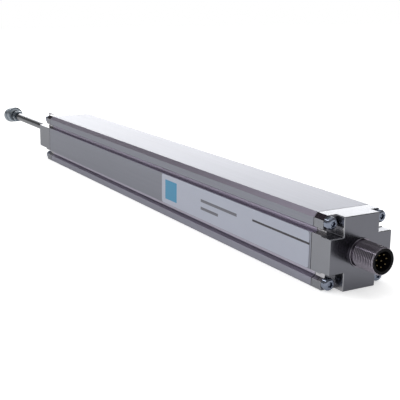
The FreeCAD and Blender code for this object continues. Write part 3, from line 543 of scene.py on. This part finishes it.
def metal(name, base, edge=None, highlight_radius=0.25, highlight_strength=0.5, grazing=1.0):
    """A bare or plated metal, with a painted highlight on its edges if an edge colour is given.

    The base is a colour, or a function that adds nodes to the material and gives their colour.
    Grazing is how much of the metal's mirror is left at a flat angle.
    """
    material, tree, surface = surface_material(name)
    surface.inputs["Metallic"].default_value = 1.0
    surface.inputs["Specular Tint"].default_value = (grazing, grazing, grazing, 1.0)
    shade = add_finish(tree, surface, name, base(tree) if callable(base) else base)
    if edge is not None:
        paint_edge_highlight(tree, surface, shade, edge, highlight_radius, highlight_strength)
    return material


def plastic(name, base, specular=0.5):
    """A moulded or coated surface."""
    material, tree, surface = surface_material(name)
    surface.inputs["Specular IOR Level"].default_value = specular
    add_finish(tree, surface, name, base)
    return material


# Scale of the boards' tracks per millimetre, and half their width as a share of the noise
TRACK_SCALE = (0.9, 0.35, 0.35)
TRACK_WIDTH = 0.018


def board_material(name, mask_colour, track_colour):
    """Solder mask with paler tracks under it."""
    material, tree, surface = surface_material(name)
    hills = stretched_noise(tree, TRACK_SCALE, detail=1.0)
    from_middle = math_node(tree, "ABSOLUTE", math_node(tree, "SUBTRACT", hills, 0.5))
    track = math_node(tree, "LESS_THAN", from_middle, TRACK_WIDTH)
    add_finish(tree, surface, name, mixed(tree, track, mask_colour, track_colour))
    return material


# Radians of the coil's wave in a metre across it, and the level of that wave under which the
# board shows between two turns
COIL_WAVE = 9000.0
COIL_GAP = -0.55


def coil_material(name, base, mask_colour):
    """Printed turns of copper side by side."""
    material, tree, surface = surface_material(name)
    place = tree.nodes.new("ShaderNodeSeparateXYZ")
    tree.links.new(tree.nodes.new("ShaderNodeTexCoord").outputs["Object"], place.inputs[0])
    turns = math_node(tree, "SINE", math_node(tree, "MULTIPLY", place.outputs["Y"], COIL_WAVE))
    gap = math_node(tree, "LESS_THAN", turns, COIL_GAP)
    add_finish(tree, surface, name, mixed(tree, gap, base, mask_colour))
    tree.links.new(math_node(tree, "SUBTRACT", 1.0, gap), surface.inputs["Metallic"])
    return material


def label_material(name, layout, finish):
    """The label's film with its dark rule, its blue field and its grey rows."""
    material, tree, surface = surface_material(name)
    low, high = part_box("label")

    def printed(start, length, bottom, thickness):
        """Left, right, lower and upper edge of one printed field."""
        left = low.x + start
        foot = low.z + bottom
        return left, left + length, foot, foot + thickness

    rule = printed(layout.rule_start, high.x - low.x, layout.rule_height
                   - layout.rule_thickness / 2, layout.rule_thickness)
    field = printed(layout.field_start, layout.field_length, layout.field_bottom,
                    layout.field_height)
    fields = [(rule, finish.label_rule), (field, finish.label_field)]
    for row in range(2):
        length = layout.row_length * layout.row_step ** row
        foot = layout.row_top - layout.row_height - layout.row_pitch * row
        fields.append((printed(layout.row_start, length, foot, layout.row_height),
                       finish.label_row))
    shade = finish.label
    for (left, right, bottom, top), print_colour in fields:
        mask = math_node(tree, "MULTIPLY", span_mask(tree, "X", left, right),
                         span_mask(tree, "Z", bottom, top))
        shade = mixed(tree, mask, shade, print_colour)
    add_finish(tree, surface, name, shade)
    return material


def finish_nodes(material, *names):
    """Gives CAD nodes their material."""
    for name in names:
        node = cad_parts[name]
        node.data.materials.clear()
        node.data.materials.append(material)


# Meshes


def ring(along, radius, count, centre):
    """A ring of points about a line along X. The radius is a number or a function of the turn."""
    points = []
    for index in range(count):
        turn = 2 * math.pi * index / count
        reach = radius(turn) if callable(radius) else radius
        points.append((along, centre[0] + reach * math.cos(turn), centre[1] + reach * math.sin(turn)))
    return points


def add_skin(mesh, rows, joined=False):
    """Adds faces between rows of points. The last row joins the first, or both ends are capped."""
    rings = [[mesh.verts.new(point) for point in row] for row in rows]
    pairs = list(zip(rings, rings[1:]))
    if joined:
        pairs.append((rings[-1], rings[0]))
    for lower, upper in pairs:
        for index, corner in enumerate(lower):
            after = (index + 1) % len(lower)
            mesh.faces.new((corner, lower[after], upper[after], upper[index]))
    if not joined:
        mesh.faces.new(reversed(rings[0]))
        mesh.faces.new(rings[-1])


def finished_object(mesh, name, material, sharp_angle=35):
    """Makes an object of the mesh, smooth but for edges over an angle in degrees."""
    bmesh.ops.recalc_face_normals(mesh, faces=mesh.faces)
    data = bpy.data.meshes.new(name)
    mesh.to_mesh(data)
    mesh.free()
    data.polygons.foreach_set("use_smooth", [True] * len(data.polygons))
    data.set_sharp_from_angle(angle=math.radians(sharp_angle))
    data.materials.append(material)
    piece = bpy.data.objects.new(name, data)
    bpy.context.scene.collection.objects.link(piece)
    return piece


# Share of a thread's slope that stays at the root, and share over which the flank climbs
ROOT_SHARE = 0.2
FLANK_SHARE = 0.62


def ridge(along, turn, pitch):
    """Height of a thread from 0 at its root to 1 at its crest."""
    phase = (along / pitch - turn / (2 * math.pi)) % 1.0
    slope = 1 - abs(2 * phase - 1)
    return min(1.0, max(0.0, (slope - ROOT_SHARE) / FLANK_SHARE))


def stepped(start, end, step):
    """Places from start to end, about a step apart."""
    count = max(1, round(abs(end - start) / step))
    return [start + (end - start) * index / count for index in range(count + 1)]


def make_connector_shell(thread, material):
    """The connector's shell with its helical thread, in place of the plain one."""
    low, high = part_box("connector_shell")
    insert_low, insert_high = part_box("connector_insert")
    cap_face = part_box("rear_cap")[1].x
    centre = ((low.y + high.y) / 2, (low.z + high.z) / 2)
    ring_radius = (high.y - low.y) / 2
    root = ring_radius - thread.crest_drop - thread.depth
    rim_bore = (insert_high.y - insert_low.y) / 2 + thread.rim_gap
    tip = high.x
    rim_start = tip - thread.rim_depth
    ring_end = cap_face + thread.ring_length
    thread_start = ring_end + thread.relief
    rows = []

    def add(*places):
        """Adds a row of points at each place along the shell, with its radius."""
        for along, radius in places:
            rows.append(ring(along, radius, thread.divisions, centre))

    add((low.x, thread.tail_bore), (low.x, thread.tail_radius), (cap_face, thread.tail_radius),
        (cap_face, ring_radius - thread.edge), (cap_face + thread.edge, ring_radius),
        (ring_end - thread.edge, ring_radius), (ring_end, ring_radius - thread.edge),
        (ring_end, root))
    for along in stepped(thread_start, tip, thread.pitch / thread.rows)[:-1]:
        rise = min(1.0, (along - thread_start) / thread.lead_in, (tip - along) / thread.lead_in)

        def thread_radius(turn, along=along, limit=rise + thread.lead_height):
            """Radius of this row at a turn, on a ridge or between two."""
            return root + thread.depth * min(ridge(along, turn, thread.pitch), limit)

        add((along, thread_radius))
    add((tip, root + thread.edge), (tip, rim_bore), (rim_start, rim_bore),
        (rim_start, thread.shell_bore), (ring_end, thread.shell_bore),
        (ring_end, thread.tail_bore))
    mesh = bmesh.new()
    add_skin(mesh, rows, joined=True)
    shell = finished_object(mesh, "connector_shell_threaded", material, sharp_angle=30)
    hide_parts("connector_shell")
    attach(shell, "housing")


def screw_rows(screw, seat, direction, centre, shank_end, start_turn):
    """Rows of one screw from its socket's floor over the head to the end of its shank."""
    rows = []

    def socket(turn):
        """Radius of the socket's wall at a turn."""
        return screw.socket_radius + screw.lobe * math.cos(screw.lobes * (turn + start_turn))

    def add(height, radius):
        """Adds a row of points at a height over the head's seat."""
        rows.append(ring(seat + height * direction, radius, screw.divisions, centre))

    top = screw.head_height
    floor = top - screw.socket_depth
    add(floor - screw.dimple_depth, screw.dimple_radius)
    add(floor, lambda turn: socket(turn) * screw.socket_taper)
    add(top - screw.mouth_depth, socket)
    add(top - screw.mouth_drop, lambda turn: socket(turn) + screw.mouth_flare)
    dome_start = screw.head_radius - screw.dome_radius
    mouth_edge = screw.socket_radius + screw.lobe + screw.mouth_rim
    for step in range(1, screw.dome_rows + 1):
        angle = math.pi / 2 * step / screw.dome_rows
        reach = dome_start + screw.dome_radius * math.sin(angle)
        add(top - screw.dome_radius * (1 - math.cos(angle)), max(reach, mouth_edge))
    add(screw.seat_bevel, screw.head_radius)
    add(0.0, screw.head_radius - screw.seat_bevel)
    add(0.0, screw.shank_radius)
    add(-screw.plain_length, screw.shank_radius)
    root = screw.shank_radius - screw.thread_depth
    for along in stepped(-screw.plain_length, shank_end, screw.thread_pitch / screw.thread_rows)[1:]:
        fade = min(1.0, (along - shank_end) / screw.shank_radius)
        size = screw.tip_share + (1 - screw.tip_share) * fade

        def thread_radius(turn, along=along, size=size):
            """Radius of this row at a turn, on a ridge or between two."""
            return (root + screw.thread_depth * ridge(along, turn, screw.thread_pitch)) * size

        add(along, thread_radius)
    return rows


def make_screws(node, name, outward, screw, material):
    """The four screws of one cap, with six-lobed sockets, in place of the plain ones."""
    low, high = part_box(node)
    seat = (high.x if outward > 0 else low.x) - outward * screw.head_height
    shank_end = -((high.x - low.x) - screw.head_height)
    sides = (low.y + screw.head_radius, high.y - screw.head_radius)
    heights = (low.z + screw.head_radius, high.z - screw.head_radius)
    mesh = bmesh.new()
    places = [(side, height) for height in heights for side in sides]
    for index, centre in enumerate(places):
        turn = screw.first_turn + screw.turn_step * index
        add_skin(mesh, screw_rows(screw, seat, outward, centre, shank_end, turn))
    screws = finished_object(mesh, name, material, sharp_angle=32)
    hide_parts(node)
    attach(screws, "housing")


# Operators


class SensorHousing(Operator):
    """Gives the housing its anodised skin, with fine lengthwise lines, painted light in the grooves
    and on the feet, and a painted reflection on the chamfers
    """

    bl_idname = "sensor.finish_housing"
    bl_label = "Housing"

    def execute(self, context):
        finish = context.scene.sensor_finish
        profile = context.scene.sensor_profile

        def skin_with_painted_light(tree):
            """The skin's colour, with painted light in the grooves and on the feet, and a painted
            reflection on the chamfers.
            """
            shade = finish.aluminium
            for bottom, top, skin in (
                    (profile.lower_groove, profile.lower_groove_top, finish.lower_groove),
                    (profile.upper_groove, profile.upper_groove_top, finish.upper_groove)):
                mask = groove_mask(tree, profile, bottom, top)
                shade = mixed(tree, mask, shade, skin)
            foot = span_mask(tree, "Z", profile.skin_margin,
                             profile.lower_groove - profile.skin_margin)
            shade = mixed(tree, foot, shade, finish.lower_land_painted_light)
            return mixed(tree, chamfer_mask(tree, profile), shade, finish.chamfer_painted_reflection)

        skin = metal("anodised_aluminium", skin_with_painted_light, edge=finish.aluminium_edge_highlight,
                     highlight_radius=0.18, highlight_strength=0.35, grazing=0.56)
        finish_nodes(skin, "housing_profile")
        return {"FINISHED"}


class SensorCaps(Operator):
    """Gives the cast caps their satin nickel, with painted shade on the end faces, a dark painted
    reflection on the chamfers and painted light in the grooves and beside the screws
    """

    bl_idname = "sensor.finish_caps"
    bl_label = "Caps"

    def execute(self, context):
        finish = context.scene.sensor_finish
        profile = context.scene.sensor_profile
        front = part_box("front_cap")[0].x + profile.shaded_face_depth
        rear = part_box("rear_cap")[1].x - profile.shaded_face_depth
        head = context.scene.sensor_screw.head_height
        front_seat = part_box("front_cap_screws")[0].x + head
        rear_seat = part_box("rear_cap_screws")[1].x - head

        def skin_with_painted_light(tree):
            """The skin's colour, with painted light in the grooves and beside the screws, painted
            shade on the end faces and a dark painted reflection on the chamfers.
            """
            lifted_recesses = lifted_recess_mask(tree, profile, front_seat, rear_seat)
            shade = mixed(tree, lifted_recesses, finish.nickel, finish.recess_painted_light_nickel)
            behind_faces = span_mask(tree, "X", front, rear)
            shade = mixed(tree, behind_faces, finish.end_face_painted_shade, shade)
            return mixed(tree, chamfer_mask(tree, profile), shade, finish.cap_chamfer_painted_reflection)

        skin = metal("satin_nickel", skin_with_painted_light, edge=finish.nickel_edge_highlight, grazing=0.58)
        finish_nodes(skin, "front_cap", "rear_cap")
        return {"FINISHED"}


class SensorRubber(Operator):
    """Gives gaskets, wiper, buffer and seal their rubber"""

    bl_idname = "sensor.finish_rubber"
    bl_label = "Rubber pieces"

    def execute(self, context):
        rubber = plastic("black_rubber", context.scene.sensor_finish.rubber)
        finish_nodes(rubber, "front_gasket", "rear_gasket", "rod_wiper", "front_buffer",
                     "connector_seal")
        return {"FINISHED"}


class SensorScrews(Operator):
    """Builds the eight cap screws with domed heads and six-lobed sockets"""

    bl_idname = "sensor.build_screws"
    bl_label = "Cap screws"

    def execute(self, context):
        screw = context.scene.sensor_screw
        zinc = metal("bright_zinc", context.scene.sensor_finish.zinc)
        make_screws("rear_cap_screws", "rear_cap_screws_lobed", 1, screw, zinc)
        make_screws("front_cap_screws", "front_cap_screws_lobed", -1, screw, zinc)
        finish_nodes(zinc, "rear_cap_screws", "front_cap_screws", "carriage_washer",
                     "carriage_nut")
        return {"FINISHED"}


class SensorRod(Operator):
    """Gives the rod, its stud and its bearing their turned metals"""

    bl_idname = "sensor.finish_rod"
    bl_label = "Rod and bearing"

    def execute(self, context):
        finish = context.scene.sensor_finish
        finish_nodes(metal("polished_steel", finish.rod_steel, grazing=0.8), "push_rod")
        # The ball stud's paler steel is painted light in the coupling's shaded mouth.
        finish_nodes(metal("turned_steel", finish.ball_steel), "ball_stud")
        finish_nodes(metal("sintered_bronze", finish.bronze), "guide_bush")
        return {"FINISHED"}


class SensorCoupling(Operator):
    """Gives the ball coupling its dark zinc, and seat and carriage their white plastic"""

    bl_idname = "sensor.finish_coupling"
    bl_label = "Ball coupling"

    def execute(self, context):
        finish = context.scene.sensor_finish
        zinc = metal("dark_zinc", finish.blued_zinc, edge=finish.zinc_edge_highlight)
        finish_nodes(zinc, "coupling_socket", "rod_lock_nut")
        # Paler zinc on the ring as painted light in the coupling's shaded mouth.
        finish_nodes(metal("pale_zinc", finish.ring_zinc_painted_light), "socket_ring")
        finish_nodes(plastic("white_acetal", finish.white_plastic), "ball_seat", "carriage")
        return {"FINISHED"}


class SensorConnector(Operator):
    """Builds the threaded shell and finishes the contacts of the connector"""

    bl_idname = "sensor.build_connector"
    bl_label = "Connector"

    def execute(self, context):
        finish = context.scene.sensor_finish
        nickel = metal("plated_shell", finish.shell_nickel, edge=finish.shell_crest_highlight,
                       highlight_radius=0.10, highlight_strength=0.7)
        black = plastic("black_contact_carrier", finish.black_plastic, specular=0.06)
        make_connector_shell(context.scene.sensor_thread, nickel)
        finish_nodes(nickel, "connector_shell", "connector_nut")
        finish_nodes(black, "connector_insert", "header_strip")
        # The gold is darkened partly as painted shade of the connector's recess.
        finish_nodes(metal("gold_contact", finish.gold), "connector_pins", "header_pins")
        return {"FINISHED"}


class SensorElectronics(Operator):
    """Finishes the boards, chips, coil and flexible link inside"""

    bl_idname = "sensor.finish_electronics"
    bl_label = "Electronics"

    def execute(self, context):
        finish = context.scene.sensor_finish
        board = board_material("solder_mask", finish.board, finish.track)
        coil = coil_material("printed_copper", finish.copper, finish.board)
        finish_nodes(board, "coil_board", "electronics_board", "connector_board",
                     "resonator_board")
        finish_nodes(coil, "resonator_coil")
        finish_nodes(plastic("chip_package", finish.black_plastic), "board_chips")
        finish_nodes(plastic("capacitor_ceramic", finish.ceramic), "resonator_capacitor")
        finish_nodes(plastic("amber_film", finish.amber), "link_flex")
        return {"FINISHED"}


class SensorLabelPrint(Operator):
    """Gives the label its film, its dark rule, its plain blue field and its grey rows"""

    bl_idname = "sensor.print_label"
    bl_label = "Label"

    def execute(self, context):
        scene = context.scene
        film = label_material("label_film", scene.sensor_label, scene.sensor_finish)
        finish_nodes(film, "label")
        return {"FINISHED"}


def mirror_mask(tree):
    """1 for what is mirrored or seen through glass."""
    rays = tree.nodes.new("ShaderNodeLightPath")
    return math_node(
        tree, "MAXIMUM", rays.outputs["Is Glossy Ray"], rays.outputs["Is Transmission Ray"])


def camera_mask(tree):
    """1 for what is seen directly."""
    return tree.nodes.new("ShaderNodeLightPath").outputs["Is Camera Ray"]


def mapped(tree, value, limits, ends):
    """A value carried smoothly from one range to another, with its ends held."""
    node = tree.nodes.new("ShaderNodeMapRange")
    node.interpolation_type = "SMOOTHSTEP"
    for socket, given in zip(node.inputs[:5], (value, *limits, *ends)):
        connect(tree, given, socket)
    return node.outputs[0]


# Where the mirrored studio begins and ends to change: the cosine of the angle from the middle of
# the dark panel, and the sine of the height for the upper wall and the ceiling
PANEL_EDGE = (0.59, 0.89)
WALL_EDGE = (0.14, 0.42)
CEILING_EDGE = (0.70, 0.90)
WHOLE_RANGE = (0.0, 1.0)


def make_world(stage):
    """White as seen. Metal mirrors a bright backdrop and ceiling, a dark panel and a dark band."""
    world = bpy.data.worlds.new("studio")
    world.use_nodes = True
    tree = world.node_tree
    tree.nodes.clear()
    direction = tree.nodes.new("ShaderNodeTexCoord").outputs["Generated"]
    parts = tree.nodes.new("ShaderNodeSeparateXYZ")
    tree.links.new(direction, parts.inputs[0])
    towards = tree.nodes.new("ShaderNodeVectorMath")
    towards.operation = "DOT_PRODUCT"
    tree.links.new(direction, towards.inputs[0])
    towards.inputs[1].default_value = (
        math.cos(stage.panel_turn), math.sin(stage.panel_turn), 0.0)
    height = parts.outputs["Z"]
    side = mapped(tree, towards.outputs["Value"], PANEL_EDGE, (stage.backdrop, stage.panel))
    wall = mapped(tree, height, WALL_EDGE, (side, stage.upper_wall))
    mirrored = mapped(tree, height, CEILING_EDGE, (wall, stage.ceiling))
    level = mapped(tree, mirror_mask(tree), WHOLE_RANGE, (stage.ambient, mirrored))
    strength = mapped(tree, camera_mask(tree), WHOLE_RANGE, (level, 1.0))
    background = tree.nodes.new("ShaderNodeBackground")
    background.inputs["Color"].default_value = (1.0, 1.0, 1.0, 1.0)
    tree.links.new(strength, background.inputs["Strength"])
    output = tree.nodes.new("ShaderNodeOutputWorld")
    tree.links.new(background.outputs[0], output.inputs["Surface"])
    bpy.context.scene.world = world


# Scale of the floor's clouds per millimetre, and the brightness of the darkest of them
FLOOR_CLOUD_SCALE = (0.004, 0.004, 0.004)
FLOOR_CLOUD_SHADE = 0.99


def make_floor(stage):
    """A wide pale floor under the sensor."""
    material, tree, surface = surface_material("pale_floor")
    clouds = stretched_noise(tree, FLOOR_CLOUD_SCALE, detail=2.0)
    brightness = tree.nodes.new("ShaderNodeMapRange")
    tree.links.new(clouds, brightness.inputs["Value"])
    brightness.inputs["To Min"].default_value = stage.floor * FLOOR_CLOUD_SHADE
    brightness.inputs["To Max"].default_value = stage.floor
    tree.links.new(brightness.outputs[0], surface.inputs["Base Color"])
    surface.inputs["Roughness"].default_value = 0.9
    surface.inputs["Specular IOR Level"].default_value = 0.0
    mirrored = math_node(tree, "MULTIPLY", mirror_mask(tree), stage.floor_mirrored)
    lift = math_node(tree, "MULTIPLY_ADD", camera_mask(tree), stage.floor_lift, mirrored)
    surface.inputs["Emission Strength"].default_value = 1.0
    tree.links.new(lift, surface.inputs["Emission Color"])
    mesh = bmesh.new()
    bmesh.ops.create_grid(mesh, x_segments=2, y_segments=2, size=stage.floor_radius)
    floor = finished_object(mesh, "floor", material)


# Each lamp's name, place, aim, width and height in metres, the setting of its power, and
# whether metal mirrors it
LAMPS = (
    ("overhead_lamp", (-0.1, 0.15, 1.5), (0, 0, 0), (1.4, 1.0), "overhead_power", False),
    ("back_lamp", (-1.35, 0.85, 0.34), (0, 0, 0.02), (1.5, 0.5), "back_power", True),
    ("strip_lamp", (-0.45, -0.66, 0.9), (-0.45, 0, 0), (1.4, 0.14), "strip_power", True),
    ("rim_lamp", (-1.42, 0.15, 0.41), (-0.25, 0, 0.016), (0.50, 0.25), "rim_power", True),
)


def make_lamp(name, place, aim, size, power, mirrored):
    """A soft rectangular lamp turned towards a point."""
    data = bpy.data.lights.new(name, "AREA")
    data.shape = "RECTANGLE"
    data.size, data.size_y = size
    data.energy = power
    lamp = bpy.data.objects.new(name, data)
    lamp.location = place
    lamp.rotation_euler = (Vector(aim) - Vector(place)).to_track_quat("-Z", "Y").to_euler()
    lamp.visible_camera = False
    lamp.visible_glossy = mirrored
    bpy.context.scene.collection.objects.link(lamp)


def make_camera(stage):
    """The camera at the photograph's viewing angle."""
    data = bpy.data.cameras.new("camera")
    data.lens = stage.focal_length
    data.sensor_width = 36.0
    data.clip_start = 0.01
    data.clip_end = 50.0
    azimuth, elevation, roll = stage.azimuth, stage.elevation, stage.roll
    towards = -Vector((math.sin(azimuth) * math.cos(elevation),
                       -math.cos(azimuth) * math.cos(elevation), math.sin(elevation)))
    right = towards.cross(Vector((0, 0, 1))).normalized()
    up = right.cross(towards)
    leaned_right = right * math.cos(roll) + up * math.sin(roll)
    leaned_up = up * math.cos(roll) - right * math.sin(roll)
    camera = bpy.data.objects.new("camera", data)
    axes = Matrix((leaned_right, leaned_up, -towards)).transposed().to_4x4()
    camera.matrix_world = Matrix.Translation(stage.camera_place) @ axes
    bpy.context.scene.collection.objects.link(camera)
    bpy.context.scene.camera = camera


class SensorStudio(Operator):
    """Sets up the pale floor, the soft lamps and the camera"""

    bl_idname = "sensor.build_stage"
    bl_label = "Stage"

    def execute(self, context):
        stage = context.scene.sensor_stage
        make_world(stage)
        make_floor(stage)
        for name, place, aim, size, power, mirrored in LAMPS:
            make_lamp(name, place, aim, size, getattr(stage, power), mirrored)
        make_camera(stage)
        context.scene.view_settings.view_transform = "Standard"
        return {"FINISHED"}


OPERATORS = (
    SensorHousing, SensorCaps, SensorRubber, SensorScrews, SensorRod, SensorCoupling,
    SensorConnector, SensorElectronics, SensorLabelPrint, SensorStudio,
)
SETTINGS = {
    "sensor_finish": SensorFinish,
    "sensor_profile": SensorProfile,
    "sensor_thread": SensorThread,
    "sensor_screw": SensorScrew,
    "sensor_label": SensorLabel,
    "sensor_stage": SensorStage,
}


class SensorPanel(Panel):
    """Lists the sensor's pieces and settings"""

    bl_idname = "VIEW3D_PT_sensor"
    bl_label = "Linear Position Sensor"
    bl_space_type = "VIEW_3D"
    bl_region_type = "UI"
    bl_category = "Sensor"

    def draw(self, context):
        for operator in OPERATORS:
            self.layout.operator(operator.bl_idname)
        for setting in SETTINGS:
            box = self.layout.box()
            values = getattr(context.scene, setting)
            for name in values.__annotations__:
                box.prop(values, name)


def register():
    """Adds the settings, the operators and the panel to Blender."""
    for setting, group in SETTINGS.items():
        bpy.utils.register_class(group)
        setattr(bpy.types.Scene, setting, PointerProperty(type=group))
    for operator in OPERATORS:
        bpy.utils.register_class(operator)
    bpy.utils.register_class(SensorPanel)


def unregister():
    """Takes them out again."""
    bpy.utils.unregister_class(SensorPanel)
    for operator in reversed(OPERATORS):
        bpy.utils.unregister_class(operator)
    for setting, group in reversed(SETTINGS.items()):
        delattr(bpy.types.Scene, setting)
        bpy.utils.unregister_class(group)


def main():
    """Builds every piece in order."""
    register()
    bpy.ops.sensor.finish_housing()
    bpy.ops.sensor.finish_caps()
    bpy.ops.sensor.finish_rubber()
    bpy.ops.sensor.build_screws()
    bpy.ops.sensor.finish_rod()
    bpy.ops.sensor.finish_coupling()
    bpy.ops.sensor.build_connector()
    bpy.ops.sensor.finish_electronics()
    bpy.ops.sensor.print_label()
    bpy.ops.sensor.build_stage()


if __name__ == "__main__":
    main()
